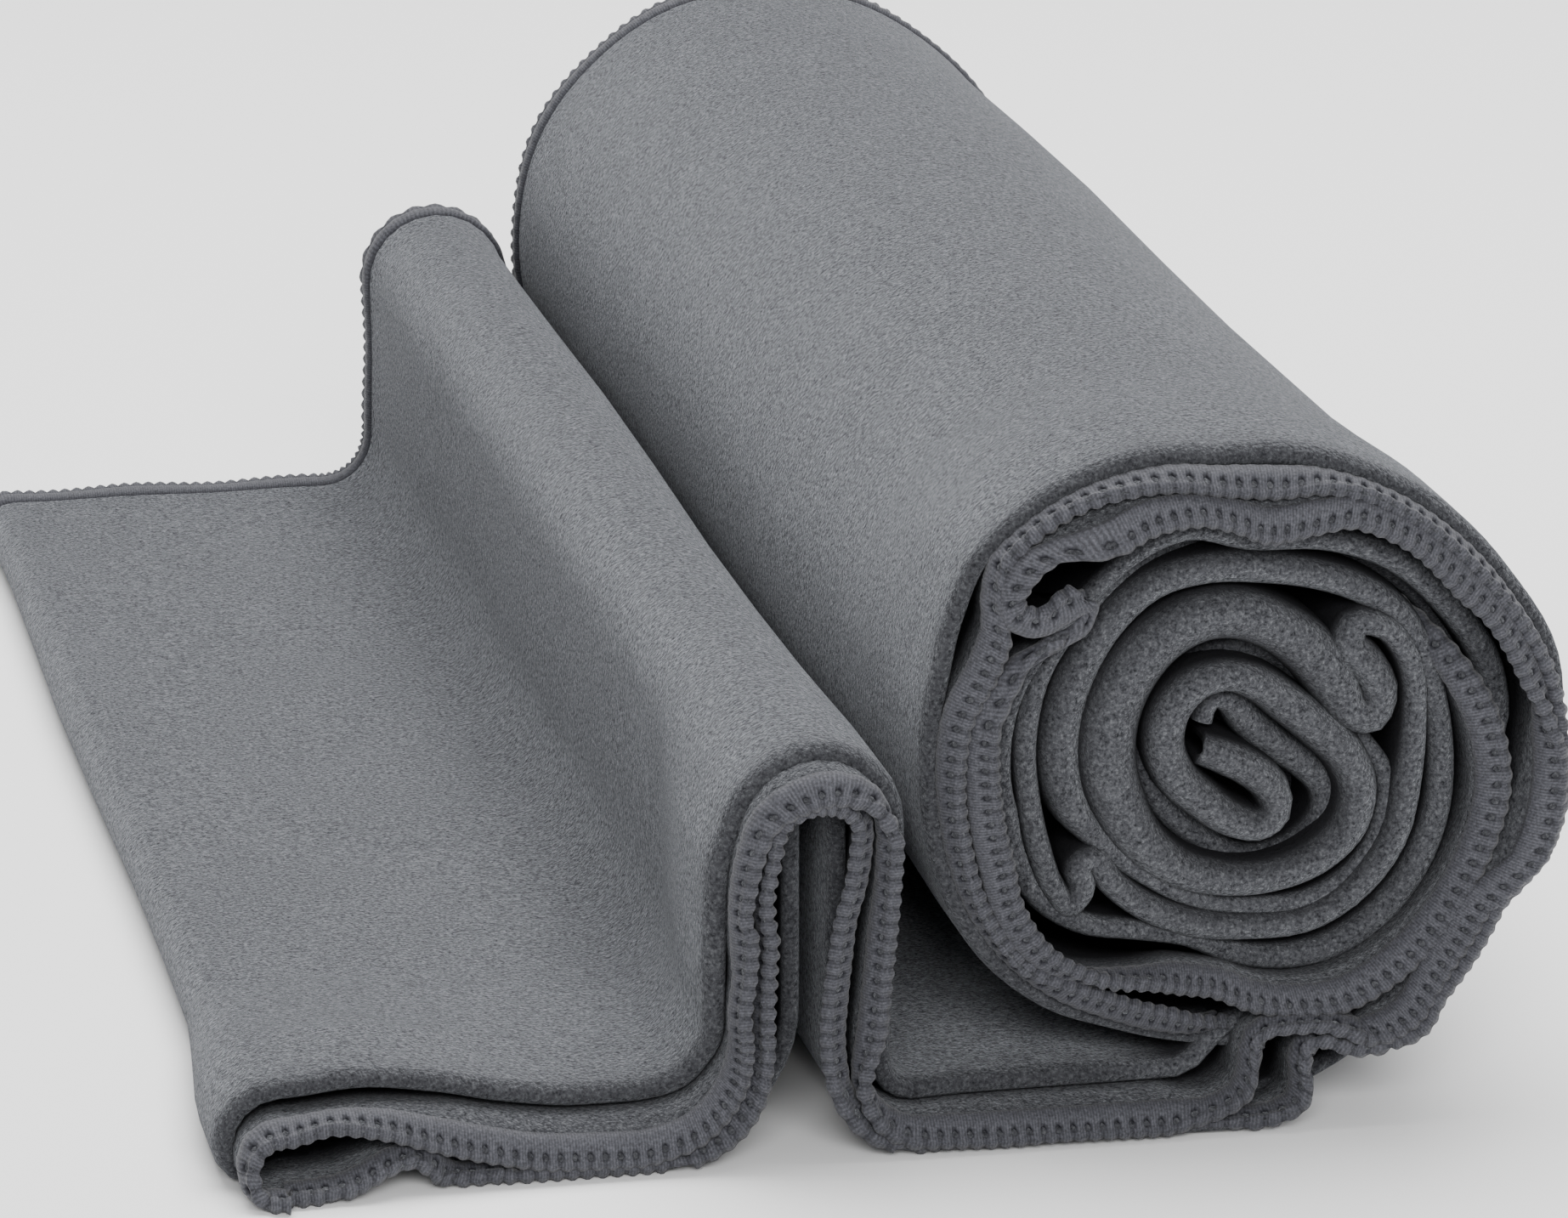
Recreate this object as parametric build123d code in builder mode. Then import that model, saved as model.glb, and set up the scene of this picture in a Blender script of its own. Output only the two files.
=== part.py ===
from build123d import *
from math import cos, degrees, pi, sin
import os

# A microfibre towel, folded in thirds along its length, folded in half across it, and rolled up from
# its two short ends. A tail of the folded pack lies flat in front of the roll, and between them the
# pack stands up in one tight pleat. Units are millimetres. X runs from the tail to the roll, Y along
# the roll, Z up. The origin is under the middle of the whole, on the surface that it lies on.

os.makedirs("parts", exist_ok=True)

# ---- The cloth as cut ----
towel_width = 900.0
towel_length = 1600.0
folded_width = towel_width / 3
edging_width = 4.2  # how far the overlock thread reaches in from the cloth's edge
edging_reach = 2.0  # how far a sewn edge stands out past the folds beside it

# ---- The folded pack: six layers, as bands to the left (+) and right (-) of its mid-line ----
pack_thickness = 8.5
half_pack = pack_thickness / 2
fold_inner = 1.55  # where the doubled fold of layers 1 and 2 starts
leaf_outer = 1.4  # layer 3, a single leaf whose sewn edge shows at the near end
leaf_inner = 0.15
edging_swell = 0.1  # the thread is a little thicker than the leaf that it wraps
far_edge_depth = 1.25  # layer 1 alone, at the far end

# ---- The path of the pack's mid-line ----
tail_length = 53.0  # from the cross fold's outside to the crease where the pleat's bend starts
crease_gap = 0.3
crease_radius = 13.5  # the wide bend from the tail up into the pleat
crest_radius = 6.0
foot_radius = 6.5  # the tighter bend from the pleat into the underlay
pleat_height = 52.0
underlay_length = 39.75  # from the pleat's right bend to below the roll's axis
overall_height = 86.5
roll_pitch = 8.65  # one pack with a little air
half_turns = 8
quarter = pi / 2
crest_foot = pleat_height - half_pack - crest_radius  # the mid-line's height where the crest starts
outer_turn_radius = (overall_height - pack_thickness) / 2

# The origin is in the middle of the widest stretch, from the tail's end to the roll's right side.
roll_axis_from_tail = tail_length + crease_radius + 2 * crest_radius + foot_radius + underlay_length
total_width = roll_axis_from_tail + outer_turn_radius + half_pack
path_start = Vector(half_pack - total_width / 2, half_pack)


def left_of(heading):
    return Vector(-sin(heading), cos(heading))


def place(step, share, offset):
    """The point at that share of a step, moved left of the mid-line by offset."""
    start, heading, length, radius = step
    if radius == 0:
        return start + Vector(cos(heading), sin(heading)) * (share * length) + left_of(heading) * offset
    centre = start + left_of(heading) * radius
    return centre + left_of(heading + share * length / radius) * (offset - radius)


def lay(start, pieces):
    """Lays (length, radius) pieces end to end as steps (start, heading, length, radius).
    A radius above 0 bends to the left, which is up or anticlockwise, and 0 is straight."""
    steps = []
    heading = 0.0
    for length, radius in pieces:
        steps.append((start, heading, length, radius))
        start = place(steps[-1], 1, 0)
        heading += length / radius if radius else 0
    return steps


def cut(steps, low, high):
    """The stretch of a path between two lengths along it."""
    kept = []
    passed = 0.0
    for start, heading, length, radius in steps:
        first = max(low - passed, 0)
        last = min(high - passed, length)
        if last - first > 1e-6:
            step = (start, heading, length, radius)
            turned = first / radius if radius else 0
            kept.append((place(step, first / length, 0), heading + turned, last - first, radius))
        passed += length
    return kept


# The path, from the cross fold at the tail's end to the two short ends in the roll's core
tail_pieces = [(tail_length - half_pack, 0)]
pleat_pieces = [
    (quarter * crease_radius, crease_radius),
    (crest_foot - half_pack - crease_radius, 0),
    (2 * quarter * crest_radius, -crest_radius),
    (crest_foot - half_pack - foot_radius, 0),
    (quarter * foot_radius, foot_radius),
]
underlay_pieces = [(underlay_length, 0)]
turn_radii = [outer_turn_radius - k * roll_pitch / 2 for k in range(half_turns)]
roll_pieces = [(2 * quarter * radius, radius) for radius in turn_radii]
core_radius = outer_turn_radius - half_turns * roll_pitch / 2


def total(pieces):
    return sum(length for length, radius in pieces)


tail_end = total(tail_pieces)
pleat_end = tail_end + total(pleat_pieces)
underlay_end = pleat_end + total(underlay_pieces)
path_end = towel_length / 2
core_length = path_end - underlay_end - total(roll_pieces)
pieces = tail_pieces + pleat_pieces + underlay_pieces + roll_pieces + [(core_length, core_radius)]
path = lay(path_start, pieces)

tail_run = cut(path, 0, tail_end - crease_gap)
pleat_run = cut(path, tail_end, pleat_end)
underlay_run = cut(path, pleat_end, underlay_end)
roll_run = cut(path, underlay_end, path_end - edging_width)
short_end_run = cut(path, path_end - edging_width, path_end)
long_edge_run = pleat_run + underlay_run + roll_run

near_fold = -folded_width / 2
far_fold = folded_width / 2
near_edge = near_fold - edging_reach
far_edge = far_fold + edging_reach
leaf_near = near_edge + edging_width
layer_far = far_edge - edging_width


def draw_side(run, offset):
    """One long side of a band, as tangent lines and arcs."""
    for step in run:
        if step[3] == 0:
            Line(place(step, 0, offset), place(step, 1, offset))
        else:
            ThreePointArc(place(step, 0, offset), place(step, 0.5, offset), place(step, 1, offset))


def finish(strip, label):
    strip.part.label = label
    export_step(strip.part, f"parts/{label}.step")


def band(label, run, inner, outer, near, far):
    """A closed strip that follows run between two offsets, from y = near to y = far."""
    with BuildPart() as strip:
        with BuildSketch(Plane.XZ.offset(-near)):
            with BuildLine():
                draw_side(run, inner)
                draw_side(run, outer)
                Line(place(run[0], 0, inner), place(run[0], 0, outer))
                Line(place(run[-1], 1, inner), place(run[-1], 1, outer))
            make_face()
        extrude(amount=near - far)
    finish(strip, label)


def doubled_band(label, run, inner, outer, near, far):
    """The same strip above and below the mid-line, joined round the cross fold at the run's start."""
    start = run[0][0]
    with BuildPart() as strip:
        with BuildSketch(Plane.XZ.offset(-near)):
            with BuildLine():
                for side in (inner, outer):
                    draw_side(run, side)
                    draw_side(run, -side)
                    tip = start - Vector(side, 0)
                    ThreePointArc(place(run[0], 0, side), tip, place(run[0], 0, -side))
                Line(place(run[-1], 1, inner), place(run[-1], 1, outer))
                Line(place(run[-1], 1, -inner), place(run[-1], 1, -outer))
            make_face()
        extrude(amount=near - far)
    finish(strip, label)


edging_inner = leaf_inner - edging_swell
edging_outer = leaf_outer + edging_swell
far_edging_inner = half_pack - far_edge_depth

# ---- The tail, which lifts at its crease ----
doubled_band("tail_outer_fold", tail_run, fold_inner, half_pack, near_fold, layer_far)
doubled_band("tail_hem_leaf", tail_run, leaf_inner, leaf_outer, leaf_near, far_fold)
doubled_band("tail_near_edging", tail_run, edging_inner, edging_outer, near_edge, leaf_near)
doubled_band("tail_far_edging", tail_run, far_edging_inner, half_pack, layer_far, far_edge)

# ---- The pleat, the underlay and the roll: two doubled folds, with two hem leaves between them ----
for region, run in (("pleat", pleat_run), ("underlay", underlay_run), ("roll", roll_run)):
    band(f"{region}_upper_fold", run, fold_inner, half_pack, near_fold, layer_far)
    band(f"{region}_upper_leaf", run, leaf_inner, leaf_outer, leaf_near, far_fold)
    band(f"{region}_lower_leaf", run, -leaf_inner, -leaf_outer, leaf_near, far_fold)
    band(f"{region}_lower_fold", run, -fold_inner, -half_pack, near_fold, layer_far)

# ---- The overlocked edges of that stretch ----
for side, sign in (("upper", 1), ("lower", -1)):
    near_low = sign * edging_inner
    near_high = sign * edging_outer
    far_low = sign * far_edging_inner
    pack_face = sign * half_pack
    band(f"near_edging_{side}", long_edge_run, near_low, near_high, near_edge, leaf_near)
    band(f"far_edging_{side}", long_edge_run, far_low, pack_face, layer_far, far_edge)
    band(f"short_end_edging_{side}", short_end_run, sign * leaf_inner, pack_face, near_fold, far_fold)

crease_x = path_start.X + tail_end - crease_gap / 2
print(f"crease pivot at x {crease_x:.2f}, z {pack_thickness:.2f}")
print(f"half towel {path_end:.1f}, core turn {degrees(core_length / core_radius):.1f} degrees")
print(f"overall {total_width:.1f} x {far_edge - near_edge:.1f} x {overall_height:.1f}")
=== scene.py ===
from math import cos, pi, radians, sin

import bmesh
import bpy
import numpy as np
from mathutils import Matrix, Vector


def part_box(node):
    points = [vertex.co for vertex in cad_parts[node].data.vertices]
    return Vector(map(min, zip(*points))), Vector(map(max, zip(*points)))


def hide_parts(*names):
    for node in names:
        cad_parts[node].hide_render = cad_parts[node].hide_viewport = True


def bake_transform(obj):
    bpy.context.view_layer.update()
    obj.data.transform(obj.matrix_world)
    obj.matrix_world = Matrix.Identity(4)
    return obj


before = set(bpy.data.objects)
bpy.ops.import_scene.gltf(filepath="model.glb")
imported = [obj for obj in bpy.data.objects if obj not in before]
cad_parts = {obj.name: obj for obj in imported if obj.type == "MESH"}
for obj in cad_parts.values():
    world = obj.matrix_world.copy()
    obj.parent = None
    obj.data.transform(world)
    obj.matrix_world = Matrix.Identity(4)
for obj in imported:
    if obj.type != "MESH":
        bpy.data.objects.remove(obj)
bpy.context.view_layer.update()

MM = 0.001

# ---------------------------------------------------------------- sizes, in millimetres, from the frame


def box_mm(node):
    low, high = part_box(node)
    return np.array(low) / MM, np.array(high) / MM


TAIL_LOW, TAIL_HIGH = box_mm("tail_outer_fold")
CREST_LOW, CREST_HIGH = box_mm("pleat_upper_fold")
UNDERLAY_LOW, UNDERLAY_HIGH = box_mm("underlay_upper_fold")
ROLL_HIGH = box_mm("roll_lower_fold")[1]
PACK = TAIL_HIGH[2]  # six layers
HALF_PACK = PACK / 2
NEAR_Y = -150.0  # the near folds' plane
FAR_HEM_Y = 150.4
CREASE_RADIUS = 13.5  # between the tail and the pleat
CREST_RADIUS = 6.0
FOOT_RADIUS = 6.5  # between the pleat and the underlay
TURN_PITCH = 8.65
HALF_TURNS = 8
TOWEL_LENGTH = 1600.0
PATH_LENGTH = TOWEL_LENGTH / 2
HALF_FOLD_RADIUS = 4.0  # of the fold across the towel, at the tail's left end
CLOTH = 1.25  # thickness of one layer, pile included
STITCH = 1.9
FLOOR_CLEAR = 1.15  # lowest that a hem's middle surface comes to the floor

# ---------------------------------------------------------------- camera, at the photograph's angle

CAMERA_PLACE = (-0.2081, -1.0854, 0.3448)
CAMERA_DOWN = 16.0
CAMERA_HEADING = 11.6
CAMERA_LENS = 185.2

camera_data = bpy.data.cameras.new("camera")
camera_data.lens = CAMERA_LENS
camera_data.sensor_width = 36
camera = bpy.data.objects.new("camera", camera_data)
camera.location = CAMERA_PLACE
camera.rotation_euler = (radians(90 - CAMERA_DOWN), 0, radians(-CAMERA_HEADING))
bpy.context.scene.collection.objects.link(camera)
bpy.context.scene.camera = camera

# ---------------------------------------------------------------- the path of the pack's mid-line


def lay(start, pieces):
    """(length, radius) pieces end to end, as (start, heading, length, radius, passed).
    Radius 0 is straight."""
    steps = []
    heading = 0.0
    passed = 0.0
    point = np.array(start, float)
    for length, radius in pieces:
        steps.append((point, heading, length, radius, passed))
        if radius:
            left = np.array([-sin(heading), cos(heading)])
            heading += length / radius
            point = point + radius * left - radius * np.array([-sin(heading), cos(heading)])
        else:
            point = point + length * np.array([cos(heading), sin(heading)])
        passed += length
    return steps


def pack_path():
    crest_foot = CREST_HIGH[2] - HALF_PACK - CREST_RADIUS
    outer_radius = (ROLL_HIGH[2] - PACK) / 2
    pieces = [
        (CREST_LOW[0] - TAIL_LOW[0] - HALF_PACK, 0),
        (pi / 2 * CREASE_RADIUS, CREASE_RADIUS),
        (crest_foot - HALF_PACK - CREASE_RADIUS, 0),
        (pi * CREST_RADIUS, -CREST_RADIUS),
        (crest_foot - HALF_PACK - FOOT_RADIUS, 0),
        (pi / 2 * FOOT_RADIUS, FOOT_RADIUS),
        (UNDERLAY_HIGH[0] - UNDERLAY_LOW[0], 0),
    ]
    for k in range(HALF_TURNS):
        radius = outer_radius - k * TURN_PITCH / 2
        pieces.append((pi * radius, radius))
    left_over = PATH_LENGTH - sum(length for length, radius in pieces)
    pieces.append((left_over, outer_radius - HALF_TURNS * TURN_PITCH / 2))
    return lay((TAIL_LOW[0] + HALF_PACK, HALF_PACK), pieces)


PATH = pack_path()


def along_path(s):
    """Points and left normals of the mid-line at lengths s, as (n, 2) arrays of x and z."""
    points = np.zeros((len(s), 2))
    turned = np.zeros(len(s))
    for start, heading, length, radius, passed in PATH:
        here = (s >= passed - 1e-9) if passed else np.ones(len(s), bool)
        t = s[here] - passed
        if radius:
            centre = start + radius * np.array([-sin(heading), cos(heading)])
            angle = heading + t / radius
            points[here] = centre - radius * np.stack([-np.sin(angle), np.cos(angle)], 1)
        else:
            angle = np.full(len(t), heading)
            points[here] = start + t[:, None] * np.array([cos(heading), sin(heading)])
        turned[here] = angle
    normals = np.stack([-np.sin(turned), np.cos(turned)], 1)
    return points, normals


def cubic(t, h, start, start_slope, end, end_slope):
    """The cubic over a span h with these ends and slopes, at t from 0 to 1."""
    a = (1 + 2 * t) * (1 - t) ** 2
    b = t * (1 - t) ** 2
    c = t * t * (3 - 2 * t)
    d = t * t * (t - 1)
    return a * start + b * h * start_slope + c * end + d * h * end_slope


def smooth_curve(pairs, s):
    """A smooth curve through (length, value...) rows that doesn't overshoot: monotone cubic pieces."""
    rows = np.array(pairs, float)
    x = rows[:, 0]
    out = []
    for column in range(1, rows.shape[1]):
        y = rows[:, column]
        slope = np.diff(y) / np.diff(x)
        m = np.zeros(len(x))
        inner = slope[:-1] * slope[1:] > 0
        m[1:-1][inner] = 2 * slope[:-1][inner] * slope[1:][inner] / (slope[:-1] + slope[1:])[inner]
        k = np.clip(np.searchsorted(x, s) - 1, 0, len(x) - 2)
        h = x[k + 1] - x[k]
        t = np.clip((s - x[k]) / h, 0, 1)
        out.append(cubic(t, h, y[k], m[k], y[k + 1], m[k + 1]))
    return np.stack(out, 1) if len(out) > 1 else out[0]


def step_up(t):
    """A soft step from 0 to 1 as t goes from 0 to 1."""
    t = np.clip(t, 0, 1)
    return t * t * (3 - 2 * t)


# ---------------------------------------------------------------- the near end, by length along the path
# Offsets in millimetres to the left (+) of the mid-line. "upper" is the half of the towel that is on top
# in the tail and inside in the roll, and "lower" the half that is under the tail and outside the roll.

UPPER_FOLD_INNER = [
    (0, 6.8), (10, 7.6), (20, 6.3), (28, 4.5), (38, 3.3), (44, 3.3), (52, 4.4), (60, 5.5), (72, 5.6),
    (84, 5.2), (90, 4.8), (95, 3.0), (100, 2.1), (105, 2.2), (112, 2.0), (116, 1.9), (120, 1.6), (125, 1.1),
    (130, 0.7), (140, 0.4), (150, 0.8), (162, 1.3), (188, 1.4), (195, 6.8), (202, 7.4), (210, 4.0),
    (220, 2.6), (240, 3.0), (256, 1.8), (264, -0.4), (270, -0.7), (278, -0.1), (290, 0.7), (300, 2.6),
    (312, 5.0), (322, 3.2),
    (345, 5.8), (362, 5.0), (376, 5.2),
]
UPPER_FOLD_WIDTH = [
    (0, 2.8), (12, 2.7), (28, 2.9), (60, 3.0), (95, 3.4), (110, 3.2), (150, 3.0), (190, 3.0),
    (254, 2.8), (266, 4.3), (278, 4.0), (290, 3.9), (300, 3.6), (312, 3.2), (345, 2.8), (370, 2.5),
]
LOWER_FOLD_INNER = [
    (0, -1.8), (60, -1.7), (100, -1.7), (150, -1.7), (190, -1.7), (203, -0.4), (215, 1.2), (230, 2.8),
    (240, 2.4), (250, -0.2), (256, -1.2), (262, -3.2), (270, -4.4), (280, -3.6), (293, -3.7),
    (310, -3.6), (317, -3.3), (326, -5.0), (338, -6.3),
    (345, -6.5), (352, -4.8), (360, -2.9), (376, -1.7), (392, -1.9), (403, -1.1), (412, 0.0),
    (420, -0.4), (432, -2.4), (450, -3.6), (490, -3.4), (510, -1.2), (530, 0.2), (545, 1.2),
]
LOWER_FOLD_WIDTH = [
    (0, 2.6), (240, 2.6), (262, 2.6), (280, 3.0), (310, 3.2), (345, 2.6), (370, 2.9), (400, 3.2),
    (425, 2.6), (545, 2.6),
]
UPPER_HEM_ROOT = [
    (0, 4.9), (10, 5.5), (20, 4.8), (28, 3.3), (38, 2.3), (44, 2.4), (52, 3.6), (60, 4.8),
    (71.5, 5.2), (76.5, 4.7), (81.5, 5.1), (86.5, 5.0), (91.4, 4.5), (95.2, 3.5), (99, 3.1), (103.8, 2.9),
    (106, 2.7), (108.7, 2.4), (111, 1.8), (114, 1.6), (119, 1.4), (124, 0.6), (129, 0.0), (134, -0.5),
    (139, -1.2), (143, -1.4), (148, -0.6), (154, 0.3), (162, 0.6), (188, 0.7), (192, 1.6), (195, 5.8),
    (198, 6.9), (203, 6.9), (208, 5.6), (213, 4.8), (218, 4.0), (224, 5.2), (230, 6.4), (237, 6.3),
    (244, 4.0),
    (250, 2.0), (258, -0.2), (268, -2.8), (280, -2.5), (294, -2.4), (306, -1.8), (313, 0.2), (318, -0.2),
    (326, -2.4), (338, -4.2), (345, -4.3), (352, -2.0), (358, 0.4), (372, 0.9), (384, 0.4), (394, -0.4),
    (402, 1.5), (410, 5.0), (418, 8.0), (424, 7.8), (430, 5.6), (440, 2.4), (450, 0.8), (462, -0.8),
    (474, -2.0), (486, -1.6), (500, -0.6), (540, 0.7), (800, 0.7),
]
UPPER_HEM_EDGE = [
    (0, 3.2), (6, 4.4), (12, 3.4), (18, 1.5), (25, -0.5), (34, -2.2), (44, -2.5), (50, -1.2), (56, 0.9),
    (61, 2.4), (66, 3.6), (72, 4.3), (77, 3.6), (82, 3.3), (84.6, 4.1), (87, 3.8), (92, 2.6), (95.9, 1.1),
    (98, -0.1), (101, -0.85), (104, -0.65), (107.2, 0.1), (109.4, 1.2), (111.3, 2.2), (113.4, 3.1),
    (118.4, 2.8), (123.3, 2.4), (128.3, 1.9), (133.3, 1.4), (138.3, 0.9), (142.2, -0.4), (147, -1.9),
    (153, -2.7), (158, -2.9), (170, -3.4),
    (188, -3.3), (192, -2.8), (195, 1.8), (198, 4.6), (203, 5.2), (208, 3.8), (213, 2.2), (217, 0.9),
    (220, 0.7),
    (225, 2.0), (230, 2.7), (236, 2.7), (241, 0.8), (246, -2.2), (252, -3.2), (258, -3.6), (264, -2.2),
    (269, -0.6),
    (278, -0.2), (284, 0.6), (293, 0.0), (300, 0.4), (306, 2.9), (312, 4.6), (317, 3.1), (322, 1.6),
    (328, 1.1), (333, 1.6), (339, 0.6), (344, 0.0), (349, 2.4), (356, 4.0), (361, 3.2), (368, 3.9),
    (376, 4.3), (382, 4.2), (389, 2.9), (396, 2.4), (402, 3.0), (408, 4.0), (415, 5.4), (421, 5.6),
    (428, 3.2), (435, 0.6), (441, -1.4), (450, -2.4), (458, -2.9), (466, -4.1), (474, -5.2),
    (480, -4.9), (490, -3.4), (500, -1.6), (540, 0.7), (800, 0.7),
]
# The upper hem doubles back on itself at the roll's upper left: (length, root x, z, edge x, z).
UPPER_HEM_HOOK = [
    (331, 19.3, 78.8, 22.3, 76.4), (335, 15.5, 77.5, 18.5, 76.5), (338, 12.6, 75.2, 15.5, 75.0),
    (340.5, 11.0, 72.4, 13.6, 72.7), (342.5, 10.7, 69.7, 13.0, 71.2), (344.5, 12.3, 67.2, 13.8, 70.3),
    (346.5, 15.4, 66.0, 15.6, 70.0), (348.5, 18.6, 66.2, 17.7, 71.3), (350.5, 21.6, 67.5, 19.6, 72.0),
    (352, 23.1, 69.0, 21.0, 71.3), (353.5, 21.4, 66.0, 21.5, 69.0), (355.5, 16.7, 63.9, 19.0, 66.2),
    (358, 12.0, 61.5, 14.7, 62.9), (361, 9.0, 57.9, 12.6, 59.3),
]
# Both hems stand up in a kink where the underlay runs out under the roll, given in the same way.
UPPER_HEM_KINK = [
    (184.7, 32.4, 3.4, 31.7, 2.2), (186.9, 35.0, 3.3, 34.3, 2.1),
    (189.1, 37.6, 3.6, 36.9, 2.2), (191.2, 40.0, 4.5, 39.4, 2.9),
    (193.4, 41.9, 6.2, 41.7, 4.1), (195.6, 42.4, 8.7, 43.3, 6.1),
    (197.8, 42.7, 11.3, 43.7, 8.7), (199.9, 44.0, 13.4, 43.7, 11.3),
    (202.1, 46.4, 14.2, 45.2, 13.0), (204.3, 49.0, 14.4, 47.8, 13.3),
    (206.5, 51.6, 14.2, 50.4, 13.3), (208.6, 54.2, 13.9, 53.0, 13.1),
    (210.8, 56.6, 12.9, 55.4, 12.2), (213.0, 59.0, 11.9, 57.9, 11.4),
]
LOWER_HEM_KINK = [
    (190.7, 38.3, 1.8, 37.7, 1.3), (192.6, 40.7, 1.7, 40.2, 1.2),
    (194.6, 43.1, 1.7, 42.7, 1.2), (196.5, 45.5, 2.0, 45.1, 1.4),
    (198.5, 47.8, 2.8, 47.5, 2.0), (200.4, 49.2, 4.7, 49.7, 3.1),
    (202.3, 49.3, 7.0, 50.7, 5.4), (204.3, 49.2, 9.4, 50.3, 7.8),
    (206.2, 50.6, 11.3, 50.1, 10.2), (208.1, 52.9, 11.9, 52.0, 11.4),
    (210.1, 55.3, 11.4, 54.4, 10.6), (212.0, 57.5, 10.5, 56.7, 9.8),
    (214.0, 59.9, 10.4, 59.1, 10.0), (215.9, 62.2, 11.2, 61.5, 10.8),
]
# The lower hem curls up beside the tail's left end.
LOWER_HEM_CURL = [
    (3.2, -76.2, 1.8, -76.5, 1.15), (5.6, -73.6, 1.9, -73.9, 1.15),
    (8.0, -71.2, 2.8, -71.4, 1.4), (10.4, -68.8, 3.9, -69.1, 2.4),
    (12.8, -66.3, 4.8, -66.7, 3.3), (15.2, -63.8, 5.0, -64.2, 3.8),
    (17.6, -61.3, 4.4, -62.0, 2.6), (20.0, -59.6, 2.6, -60.4, 1.15),
    (22.4, -57.4, 1.4, -57.8, 1.15), (24.8, -54.8, 1.4, -55.2, 1.2),
    (27.2, -52.2, 1.4, -52.6, 1.15),
]
UPPER_HEM_REACH = [
    (0, 5.0), (60, 5.2), (100, 4.6), (150, 5.0), (194, 5.2), (230, 4.6), (262, 4.6), (290, 3.6),
    (345, 4.2), (353, 1.4), (362, 2.8), (400, 3.4), (440, 3.6), (478, 2.6), (485, 1.6), (490, -1.5),
    (495, -9.0), (502, -16.0), (800, -16.0),
]
LOWER_HEM_ROOT = [
    (0, -2.8), (8, -2.2), (13, -0.6), (18, -0.6), (28, -2.2), (38, -2.8), (44, -2.6), (52, -0.6), (60, 1.2),
    (66, 1.9), (71.3, 2.0), (76.3, 1.4), (81.2, 1.1), (83.8, 1.6), (86.3, 1.7), (91.2, 1.1), (96.2, 0.0),
    (101, -0.6), (106, -0.5), (111, -0.4), (114, -0.5), (119, -1.2), (124, -2.5), (129, -3.0), (134, -3.4),
    (139, -3.8), (144, -3.4), (150, -1.8), (158, -1.4), (190, -1.4), (201.5, -0.9), (204.5, 3.4),
    (208, 2.8),
    (213, 1.8), (220, 1.6), (228, 3.4), (236, 3.6), (244, 1.2), (252, -1.4), (260, -3.4), (268, -4.2),
    (280, -3.7), (294, -3.7), (306, -3.5), (317, -3.2), (324, -4.4), (337, -6.0), (344, -6.3),
    (347, -5.0), (352, -1.9), (356, -1.6), (361, -2.2), (376, -1.7), (390, -1.9), (403, -1.2), (412, -0.3),
    (425, -0.4), (450, -0.8), (800, -0.8),
]
LOWER_HEM_EDGE = [
    (0, -3.6), (8, -3.6), (11, -2.6), (14, -0.8), (17, -0.4), (19, -2.6), (21, -3.6), (48, -3.6),
    (55, -2.6), (60, -1.2), (65, 0.4), (70, 1.2), (77, 1.2), (82, 0.9), (84.4, 1.4), (87, 1.4), (91.8, 0.4),
    (97, -0.45), (99.7, -1.4), (104, -1.9), (109.5, -1.8), (113, -2.4), (118, -3.1), (123, -4.5),
    (128, -5.3),
    (133, -6.0), (138, -6.3), (142, -6.0), (147, -4.6), (153, -3.8), (190, -3.6), (198.5, -4.0),
    (201.5, -4.2), (204.5, 0.4), (207.5, 2.4), (211, 1.6), (213, 0.8), (217, -0.7), (220, -1.0),
    (225, 0.6), (230, 0.9), (238, 1.1), (243, -0.8),
    (248, -2.8), (256, -4.0), (268, -4.0), (280, -3.0), (287, -2.8), (294, -3.0), (300, -3.1),
    (305, -2.4), (312, -0.8),
    (317, -1.0), (323, -2.7), (328, -4.0), (338, -6.0), (343, -5.9), (347, -3.4), (352, 0.6), (356, 1.0),
    (364, -0.2), (377, -0.2), (389, -1.0), (396, -1.2), (402, 0.6), (408, 1.8), (416, 2.0),
    (425, 0.4), (440, -0.8), (800, -0.8),
]
LOWER_HEM_REACH = [
    (0, 8.0), (10, 7.0), (15, 5.4), (20, 5.0), (45, 4.8), (56, 4.6), (65, 4.2), (100, 4.0), (150, 4.4),
    (190, 4.4), (200, 5.4), (215, 4.6), (250, 4.2), (290, 2.6), (345, 2.4), (400, 2.2), (418, 1.0),
    (432, -5.0), (446, -16.0), (800, -16.0),
]
# How far the folds stand back from the plane of the near end, away from the camera.
UPPER_FOLD_BACK = [
    (0, 0), (188, 0.5), (200, 2), (214, 7), (240, 7), (262, 4), (276, 2.5), (300, 2.5), (425, 2.5),
    (473, 1.5), (602, 2.0), (636, 2.5), (656, 5.0), (670, 6.5), (740, 5.0), (800, 4.0),
]
LOWER_FOLD_BACK = [
    (0, 3.0), (194, 3.0), (240, 3.0), (266, 0), (400, 0), (425, 2.0), (438, 7), (470, 9), (515, 9),
    (536, 4), (561, 1.5), (602, 1.0), (640, 0.5), (664, 0), (800, 0),
]
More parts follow.
